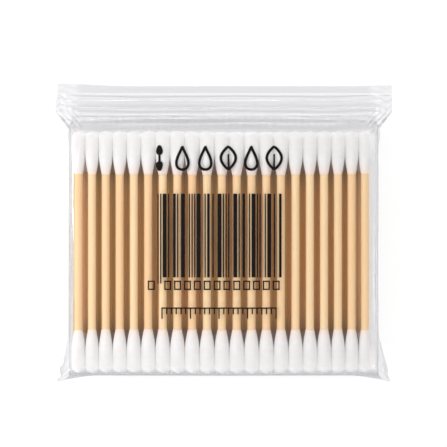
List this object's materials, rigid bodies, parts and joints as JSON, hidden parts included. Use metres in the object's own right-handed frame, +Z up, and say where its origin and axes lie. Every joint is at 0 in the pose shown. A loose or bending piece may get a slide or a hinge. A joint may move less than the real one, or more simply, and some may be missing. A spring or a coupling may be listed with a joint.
{
  "type": "press-seal bag of cotton swabs",
  "caption": "Clear press-seal bag, packed flat and full of double-ended cotton swabs with bamboo sticks, lying on its back.",
  "frame": {"origin": "on the table under the middle of the bag's outline", "axes": "+X across the bag, +Y along the swabs towards the press seal, +Z up through the thickness, out of the front face"},
  "size_m": [0.1054, 0.093, 0.0219],
  "materials": {
    "film": "clear soft bag film with slight creases and soft highlights",
    "seal": "clear extruded seal strip, a little cloudier than the film",
    "bamboo": "smooth unvarnished bamboo with fine lengthwise grain",
    "cotton": "matt wound cotton with fine fibres"
  },
  "bodies": {
    "root": {"bag_film": "film", "seal_rib_strip": "seal", "seal_groove_strip": "seal", "row_1_sticks": "bamboo", "row_1_cotton_tips": "cotton", "row_2_sticks": "bamboo", "row_2_cotton_tips": "cotton", "row_3_sticks": "bamboo", "row_3_cotton_tips": "cotton", "row_4_sticks": "bamboo", "row_4_cotton_tips": "cotton", "front_swab_01_stick": "bamboo", "front_swab_01_cotton_tips": "cotton", "front_swab_02_stick": "bamboo", "front_swab_02_cotton_tips": "cotton", "front_swab_03_stick": "bamboo", "front_swab_03_cotton_tips": "cotton", "front_swab_04_stick": "bamboo", "front_swab_04_cotton_tips": "cotton", "front_swab_05_stick": "bamboo", "front_swab_05_cotton_tips": "cotton", "front_swab_06_stick": "bamboo", "front_swab_06_cotton_tips": "cotton", "front_swab_07_stick": "bamboo", "front_swab_07_cotton_tips": "cotton", "front_swab_08_stick": "bamboo", "front_swab_08_cotton_tips": "cotton", "front_swab_09_stick": "bamboo", "front_swab_09_cotton_tips": "cotton", "front_swab_10_stick": "bamboo", "front_swab_10_cotton_tips": "cotton", "front_swab_11_stick": "bamboo", "front_swab_11_cotton_tips": "cotton", "front_swab_12_stick": "bamboo", "front_swab_12_cotton_tips": "cotton", "front_swab_13_stick": "bamboo", "front_swab_13_cotton_tips": "cotton", "front_swab_14_stick": "bamboo", "front_swab_14_cotton_tips": "cotton", "front_swab_15_stick": "bamboo", "front_swab_15_cotton_tips": "cotton", "front_swab_16_stick": "bamboo", "front_swab_16_cotton_tips": "cotton", "front_swab_17_stick": "bamboo", "front_swab_17_cotton_tips": "cotton", "front_swab_18_stick": "bamboo", "front_swab_18_cotton_tips": "cotton", "front_swab_19_stick": "bamboo", "front_swab_19_cotton_tips": "cotton", "front_swab_20_stick": "bamboo", "front_swab_20_cotton_tips": "cotton", "front_swab_21_stick": "bamboo", "front_swab_21_cotton_tips": "cotton"}
  },
  "joints": []
}
